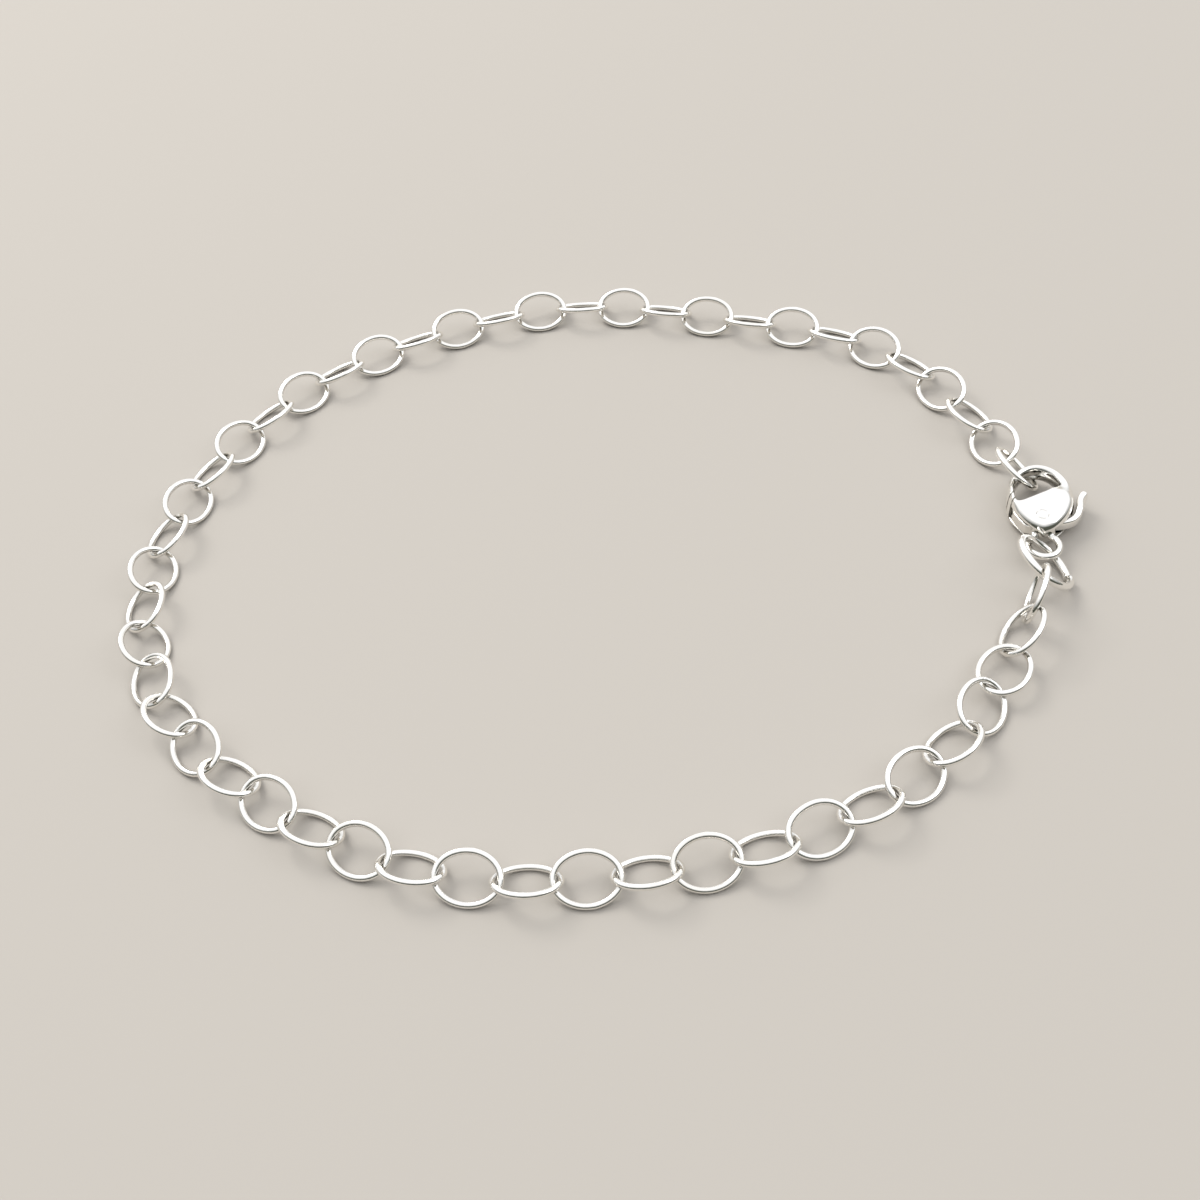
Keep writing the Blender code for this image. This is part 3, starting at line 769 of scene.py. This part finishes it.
class BRACELET_OT_clasp_lever(bpy.types.Operator):
    """Casts gate head, arm, hub and thumb tab of the lever"""

    bl_idname = "bracelet.clasp_lever"
    bl_label = "Clasp lever"

    def execute(self, context):
        v = clasp_values()
        deep, half = v["body_thickness"], v["lever_thickness"] / 2
        room = prism("head_room", gate_outline(v, v["part_gap"]), -deep, deep)
        head = cast("head", clasp_form(v, "head"), [("INTERSECT", room)], v["grain"] / 2, 0)
        hole = circle(pivot_of(v), v["pin_radius"] + v["part_gap"], PIN_STEPS)
        joins = [
            ("UNION", head),
            ("UNION", tab_form(v, "tab", tab_line(v))),
            ("DIFFERENCE", prism("hub_hole", hole, -deep, deep)),
        ]
        plate = prism("plate", lever_plate_outline(v), -half, half)
        mesh = cast("silver_clasp_lever", plate, joins, v["grain"], LEVER_MELT)
        material = cast_material("sterling_cast_lever_polished", (0.06, 0.14))
        put(set_in_clasp(v, mesh), mesh.name, material, "lever", "lever_silver", "clasp_lever")
        return {"FINISHED"}


class BRACELET_OT_clasp_pin(bpy.types.Operator):
    """Sets and rivets the pin through both cheeks"""

    bl_idname = "bracelet.clasp_pin"
    bl_label = "Clasp pin"

    def execute(self, context):
        v = clasp_values()
        half, radius = v["body_thickness"] / 2, v["pin_radius"]
        head = radius + PIN_SPREAD * v["part_gap"]
        # Profile from the middle of one riveted end to the other: height and radius
        profile = [(half - depth, share * head) for depth, share in PIN_HEAD]
        profile += [(half - PIN_NECK, radius)]
        profile += [(-height, reach) for height, reach in reversed(profile)]
        turns = np.arange(PIN_STEPS) * math.tau / PIN_STEPS
        across, along = pivot_of(v)
        rows = []
        for height, reach in profile:
            x, y = across + reach * np.cos(turns), along + reach * np.sin(turns)
            rows.append(np.stack((x, y, 0 * turns + height), 1))
        mesh = swept_mesh("silver_clasp_pin", rows, closed=False)
        material = cast_material("sterling_pin_riveted_burnished", (0.10, 0.20))
        put(set_in_clasp(v, mesh), mesh.name, material, "bracelet", "pin_silver", "clasp_pin")
        return {"FINISHED"}


def floor_material():
    """Matt board, painted pale: an even ground that catches soft shadows."""
    material = bpy.data.materials.new("board_painted_matt")
    material.use_nodes = True
    shader = material.node_tree.nodes["Principled BSDF"]
    shader.inputs["Base Color"].default_value = (*bpy.context.scene.bracelet_finish.floor, 1)
    shader.inputs["Roughness"].default_value = FLOOR_ROUGHNESS
    shader.inputs["Specular IOR Level"].default_value = FLOOR_SPECULAR
    return material


def room_light():
    """The room: bright overhead and behind, with a shaded band at the height of the table."""
    scene = bpy.context.scene
    colours, strength = scene.bracelet_finish, scene.bracelet_stage.room_strength
    world = bpy.data.worlds.new("soft_room")
    world.use_nodes = True
    scene.world = world
    tree = world.node_tree
    heading = add_node(tree, "ShaderNodeTexCoord").outputs["Generated"]
    tilted = {0: heading, 1: WALL_TILT}
    height = add_node(tree, "ShaderNodeVectorMath", tilted, operation="DOT_PRODUCT").outputs["Value"]
    share = between(tree, height, WALL_BAND[0], WALL_BAND[1], 0.0, 1.0)
    tint = blend_colours(tree, share, (*colours.wall, 1), (*colours.room, 1))
    background = tree.nodes["Background"]
    tree.links.new(tint, background.inputs["Color"])
    background.inputs["Strength"].default_value = strength


def soft_box(name, place, side, power, hex_code):
    """A square soft light that looks at the bracelet."""
    data = bpy.data.lights.new(name, "AREA")
    data.shape = "SQUARE"
    data.size = side
    data.energy = power
    data.color = linear(hex_code)
    light = bpy.data.objects.new(name, data)
    light.location = place
    light.rotation_euler = (-Vector(place)).to_track_quat("-Z", "Y").to_euler()
    bpy.context.scene.collection.objects.link(light)


class BRACELET_OT_stage(bpy.types.Operator):
    """Sets the floor, the soft light and the camera"""

    bl_idname = "bracelet.stage"
    bl_label = "Stage"

    def execute(self, context):
        scene, sizes = context.scene, context.scene.bracelet_stage
        half = sizes.floor_side / 2
        mesh = bpy.data.meshes.new("floor")
        corners = [(-half, -half, 0), (half, -half, 0), (half, half, 0), (-half, half, 0)]
        mesh.from_pydata(corners, [], [(0, 1, 2, 3)])
        mesh.materials.append(floor_material())
        floor = bpy.data.objects.new("floor", mesh)
        scene.collection.objects.link(floor)
        room_light()
        soft_box("key_light", KEY_PLACE, sizes.box_side, sizes.box_power, KEY_COLOUR)
        soft_box("fill_light", FILL_PLACE, sizes.box_side, sizes.fill_power, FILL_COLOUR)
        data = bpy.data.cameras.new("camera")
        data.lens = CAMERA_LENS
        data.sensor_width = SENSOR_WIDTH
        data.clip_start = CAMERA_NEAR
        camera = bpy.data.objects.new("camera", data)
        turn = Matrix.Rotation(CAMERA_TILT, 4, "X") @ Matrix.Rotation(CAMERA_ROLL, 4, "Z")
        camera.matrix_world = Matrix.Translation(CAMERA_PLACE) @ turn
        scene.collection.objects.link(camera)
        scene.camera = camera
        scene.view_settings.view_transform = "Standard"
        return {"FINISHED"}


class BRACELET_PT_pieces(bpy.types.Panel):
    """Lists the bracelet's pieces and its stage"""

    bl_idname = "BRACELET_PT_pieces"
    bl_label = "Charm bracelet"
    bl_space_type = "VIEW_3D"
    bl_region_type = "UI"
    bl_category = "Bracelet"

    def draw(self, context):
        for operator in OPERATORS:
            self.layout.operator(operator.bl_idname)
        for group in SETTINGS:
            box = self.layout.box()
            settings = getattr(context.scene, group)
            for name in SETTINGS[group].__annotations__:
                box.prop(settings, name)


OPERATORS = (
    BRACELET_OT_links,
    BRACELET_OT_jump_ring,
    BRACELET_OT_clasp_body,
    BRACELET_OT_clasp_lever,
    BRACELET_OT_clasp_pin,
    BRACELET_OT_stage,
)
SETTINGS = {
    "bracelet_chain": ChainSizes,
    "bracelet_ring": RingSizes,
    "bracelet_clasp": ClaspSizes,
    "bracelet_finish": FinishColours,
    "bracelet_stage": StageSizes,
}


def register():
    """Makes the settings, the operators and the panel known."""
    for group, kind in SETTINGS.items():
        bpy.utils.register_class(kind)
        setattr(bpy.types.Scene, group, bpy.props.PointerProperty(type=kind))
    for kind in (*OPERATORS, BRACELET_PT_pieces):
        bpy.utils.register_class(kind)


def unregister():
    """Takes them away again."""
    for kind in reversed((*OPERATORS, BRACELET_PT_pieces)):
        bpy.utils.unregister_class(kind)
    for group, kind in reversed(SETTINGS.items()):
        delattr(bpy.types.Scene, group)
        bpy.utils.unregister_class(kind)


def main():
    """Builds every piece and the stage."""
    register()
    bpy.ops.bracelet.links()
    bpy.ops.bracelet.jump_ring()
    bpy.ops.bracelet.clasp_body()
    bpy.ops.bracelet.clasp_lever()
    bpy.ops.bracelet.clasp_pin()
    bpy.ops.bracelet.stage()


if __name__ == "__main__":
    main()
